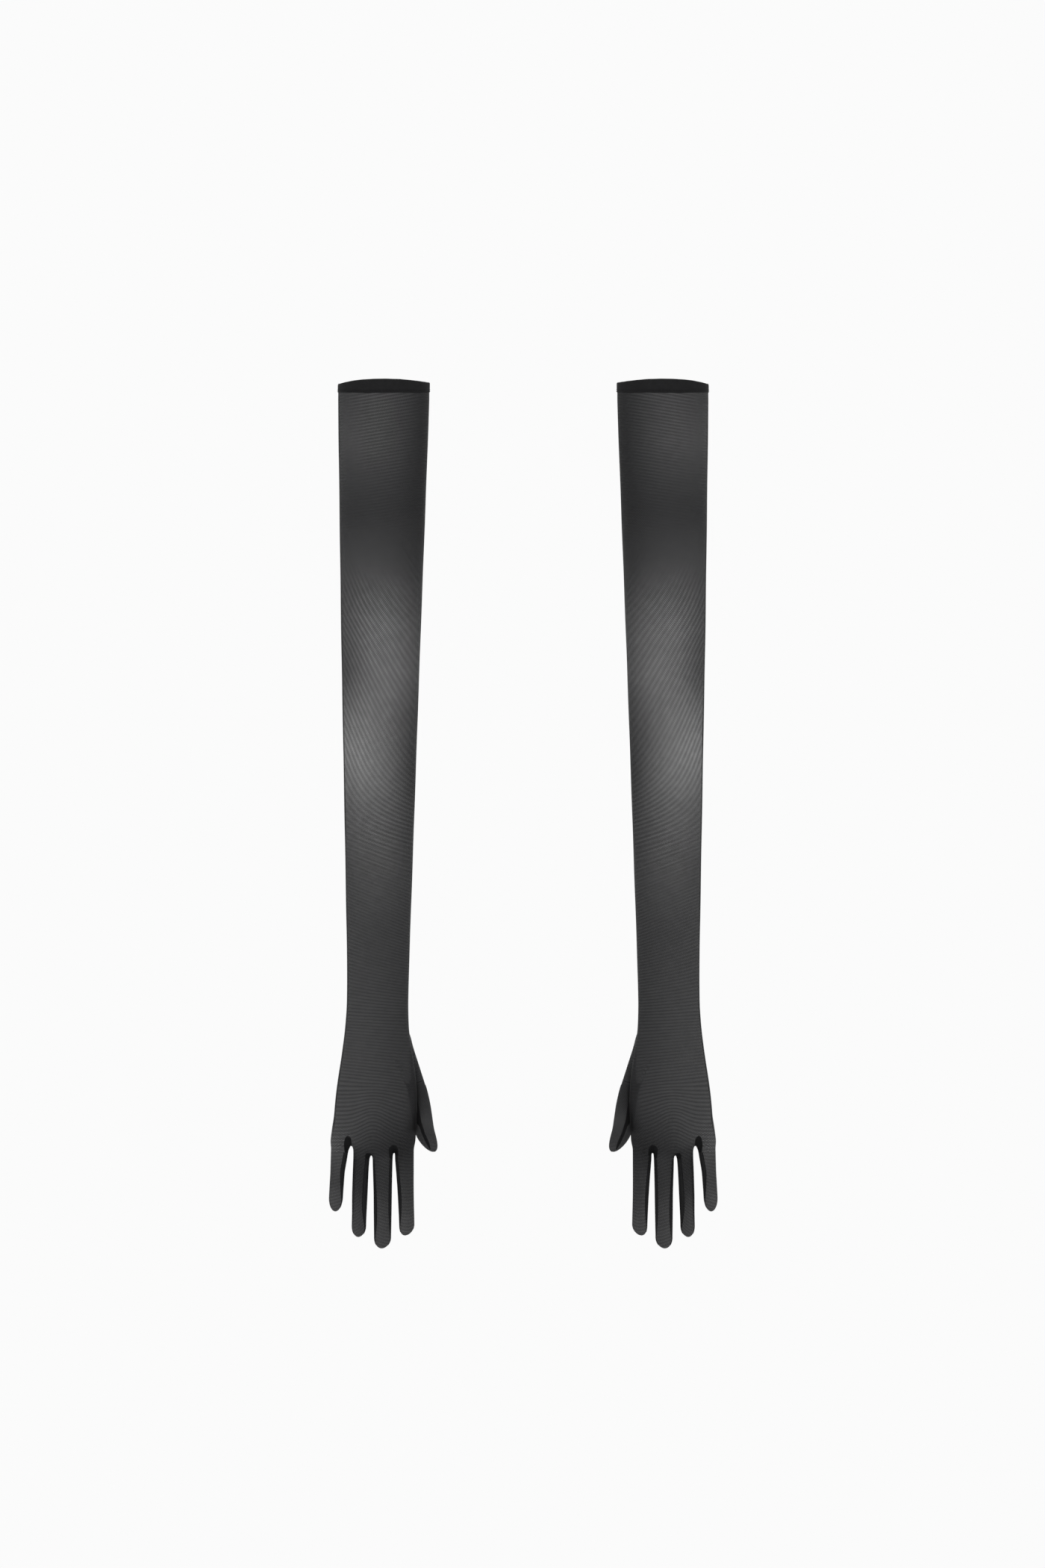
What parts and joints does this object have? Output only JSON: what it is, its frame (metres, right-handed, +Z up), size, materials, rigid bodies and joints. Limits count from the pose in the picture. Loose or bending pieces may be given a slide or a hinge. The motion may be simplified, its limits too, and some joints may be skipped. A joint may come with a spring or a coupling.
{
  "type": "opera gloves",
  "caption": "Pair of opera-length sheer stretch-mesh gloves with elasticated hems, fingers with side strips and inset thumbs, shown filled as worn.",
  "frame": {"origin": "midway between the two arm openings, in the plane of their rims", "axes": "+Z up the arms, towards the openings; -Y the way the backs of the hands face; +X from the wearer's right glove to the left one"},
  "size_m": [0.305, 0.073, 0.6798],
  "materials": {
    "mesh_cloth": "sheer stretch mesh",
    "fourchette_cloth": "doubled stretch mesh",
    "hem_cloth": "folded stretch mesh",
    "seam_cloth": "seam allowance",
    "elastic_tape": "covered elastic",
    "sewing_thread": "matt thread"
  },
  "bodies": {
    "right_upper": {"right_hem_band": "hem_cloth", "right_hem_elastic": "elastic_tape", "right_hem_stitching": "sewing_thread", "right_upper_sleeve": "mesh_cloth", "right_upper_side_seam": "seam_cloth"},
    "right_forearm": {"right_forearm_sleeve": "mesh_cloth", "right_forearm_side_seam": "seam_cloth"},
    "right_hand": {"right_hand_back": "mesh_cloth", "right_hand_palm": "mesh_cloth", "right_hand_side_seam": "seam_cloth", "right_thumb_root_seam": "seam_cloth"},
    "right_thumb_base": {"right_thumb_base": "mesh_cloth"},
    "right_thumb_tip": {"right_thumb_tip": "mesh_cloth"},
    "right_index_base": {"right_index_base": "mesh_cloth", "right_index_base_fourchette": "fourchette_cloth"},
    "right_index_tip": {"right_index_tip": "mesh_cloth", "right_index_tip_fourchette": "fourchette_cloth"},
    "right_middle_base": {"right_middle_base": "mesh_cloth", "right_middle_base_fourchette": "fourchette_cloth"},
    "right_middle_tip": {"right_middle_tip": "mesh_cloth", "right_middle_tip_fourchette": "fourchette_cloth"},
    "right_ring_base": {"right_ring_base": "mesh_cloth", "right_ring_base_fourchette": "fourchette_cloth"},
    "right_ring_tip": {"right_ring_tip": "mesh_cloth", "right_ring_tip_fourchette": "fourchette_cloth"},
    "right_little_base": {"right_little_base": "mesh_cloth", "right_little_base_fourchette": "fourchette_cloth"},
    "right_little_tip": {"right_little_tip": "mesh_cloth", "right_little_tip_fourchette": "fourchette_cloth"},
    "left_upper": {"left_hem_band": "hem_cloth", "left_hem_elastic": "elastic_tape", "left_hem_stitching": "sewing_thread", "left_upper_sleeve": "mesh_cloth", "left_upper_side_seam": "seam_cloth"},
    "left_forearm": {"left_forearm_sleeve": "mesh_cloth", "left_forearm_side_seam": "seam_cloth"},
    "left_hand": {"left_hand_back": "mesh_cloth", "left_hand_palm": "mesh_cloth", "left_hand_side_seam": "seam_cloth", "left_thumb_root_seam": "seam_cloth"},
    "left_thumb_base": {"left_thumb_base": "mesh_cloth"},
    "left_thumb_tip": {"left_thumb_tip": "mesh_cloth"},
    "left_index_base": {"left_index_base": "mesh_cloth", "left_index_base_fourchette": "fourchette_cloth"},
    "left_index_tip": {"left_index_tip": "mesh_cloth", "left_index_tip_fourchette": "fourchette_cloth"},
    "left_middle_base": {"left_middle_base": "mesh_cloth", "left_middle_base_fourchette": "fourchette_cloth"},
    "left_middle_tip": {"left_middle_tip": "mesh_cloth", "left_middle_tip_fourchette": "fourchette_cloth"},
    "left_ring_base": {"left_ring_base": "mesh_cloth", "left_ring_base_fourchette": "fourchette_cloth"},
    "left_ring_tip": {"left_ring_tip": "mesh_cloth", "left_ring_tip_fourchette": "fourchette_cloth"},
    "left_little_base": {"left_little_base": "mesh_cloth", "left_little_base_fourchette": "fourchette_cloth"},
    "left_little_tip": {"left_little_tip": "mesh_cloth", "left_little_tip_fourchette": "fourchette_cloth"}
  },
  "joints": [
    {"name": "right_elbow_bend", "type": "hinge", "parent": "right_upper", "child": "right_forearm", "pos_m": [-0.11196, -0.02839, -0.25], "axis": [-1, 0, 0], "range_deg": [0, 140]},
    {"name": "right_wrist_bend", "type": "hinge", "parent": "right_forearm", "child": "right_hand", "pos_m": [-0.1143, 0.02, -0.488], "axis": [1, 0, 0], "range_deg": [0, 80]},
    {"name": "right_thumb_spread", "type": "hinge", "parent": "right_hand", "child": "right_thumb_base", "pos_m": [-0.07704, 0.01568, -0.54987], "axis": [0, -1, 0], "range_deg": [0, 45]},
    {"name": "right_thumb_bend", "type": "hinge", "parent": "right_thumb_base", "child": "right_thumb_tip", "pos_m": [-0.08475, 0.02117, -0.57611], "axis": [0.7852, 0.5889, 0.1912], "range_deg": [0, 60]},
    {"name": "right_index_curl", "type": "hinge", "parent": "right_hand", "child": "right_index_base", "pos_m": [-0.0933, 0.00695, -0.607], "axis": [1, 0, 0], "range_deg": [0, 90]},
    {"name": "right_index_bend", "type": "hinge", "parent": "right_index_base", "child": "right_index_tip", "pos_m": [-0.09265, 0.00698, -0.631], "axis": [1, 0, 0], "range_deg": [0, 100]},
    {"name": "right_middle_curl", "type": "hinge", "parent": "right_hand", "child": "right_middle_base", "pos_m": [-0.1103, 0.0073, -0.61], "axis": [1, 0, 0], "range_deg": [0, 90]},
    {"name": "right_middle_bend", "type": "hinge", "parent": "right_middle_base", "child": "right_middle_tip", "pos_m": [-0.11041, 0.00727, -0.6345], "axis": [1, 0, 0], "range_deg": [0, 100]},
    {"name": "right_ring_curl", "type": "hinge", "parent": "right_hand", "child": "right_ring_base", "pos_m": [-0.1273, 0.00642, -0.6095], "axis": [1, 0, 0], "range_deg": [0, 90]},
    {"name": "right_ring_bend", "type": "hinge", "parent": "right_ring_base", "child": "right_ring_tip", "pos_m": [-0.12799, 0.00649, -0.633], "axis": [1, 0, 0], "range_deg": [0, 100]},
    {"name": "right_little_curl", "type": "hinge", "parent": "right_hand", "child": "right_little_base", "pos_m": [-0.1439, 0.00668, -0.6045], "axis": [1, 0, 0], "range_deg": [0, 90]},
    {"name": "right_little_bend", "type": "hinge", "parent": "right_little_base", "child": "right_little_tip", "pos_m": [-0.14541, 0.00649, -0.6225], "axis": [1, 0, 0], "range_deg": [0, 100]},
    {"name": "left_elbow_bend", "type": "hinge", "parent": "left_upper", "child": "left_forearm", "pos_m": [0.11196, -0.02839, -0.25], "axis": [-1, 0, 0], "range_deg": [0, 140]},
    {"name": "left_wrist_bend", "type": "hinge", "parent": "left_forearm", "child": "left_hand", "pos_m": [0.1143, 0.02, -0.488], "axis": [1, 0, 0], "range_deg": [0, 80]},
    {"name": "left_thumb_spread", "type": "hinge", "parent": "left_hand", "child": "left_thumb_base", "pos_m": [0.07704, 0.01568, -0.54987], "axis": [0, 1, 0], "range_deg": [0, 45]},
    {"name": "left_thumb_bend", "type": "hinge", "parent": "left_thumb_base", "child": "left_thumb_tip", "pos_m": [0.08475, 0.02117, -0.57611], "axis": [0.7852, -0.5889, -0.1912], "range_deg": [0, 60]},
    {"name": "left_index_curl", "type": "hinge", "parent": "left_hand", "child": "left_index_base", "pos_m": [0.0933, 0.00695, -0.607], "axis": [1, 0, 0], "range_deg": [0, 90]},
    {"name": "left_index_bend", "type": "hinge", "parent": "left_index_base", "child": "left_index_tip", "pos_m": [0.09265, 0.00698, -0.631], "axis": [1, 0, 0], "range_deg": [0, 100]},
    {"name": "left_middle_curl", "type": "hinge", "parent": "left_hand", "child": "left_middle_base", "pos_m": [0.1103, 0.0073, -0.61], "axis": [1, 0, 0], "range_deg": [0, 90]},
    {"name": "left_middle_bend", "type": "hinge", "parent": "left_middle_base", "child": "left_middle_tip", "pos_m": [0.11041, 0.00727, -0.6345], "axis": [1, 0, 0], "range_deg": [0, 100]},
    {"name": "left_ring_curl", "type": "hinge", "parent": "left_hand", "child": "left_ring_base", "pos_m": [0.1273, 0.00642, -0.6095], "axis": [1, 0, 0], "range_deg": [0, 90]},
    {"name": "left_ring_bend", "type": "hinge", "parent": "left_ring_base", "child": "left_ring_tip", "pos_m": [0.12799, 0.00649, -0.633], "axis": [1, 0, 0], "range_deg": [0, 100]},
    {"name": "left_little_curl", "type": "hinge", "parent": "left_hand", "child": "left_little_base", "pos_m": [0.1439, 0.00668, -0.6045], "axis": [1, 0, 0], "range_deg": [0, 90]},
    {"name": "left_little_bend", "type": "hinge", "parent": "left_little_base", "child": "left_little_tip", "pos_m": [0.14541, 0.00649, -0.6225], "axis": [1, 0, 0], "range_deg": [0, 100]},
    {"name": "left_glove_apart", "type": "slide", "parent": "right_upper", "child": "left_upper", "axis": [1, 0, 0], "range_m": [0, 0.15]}
  ]
}
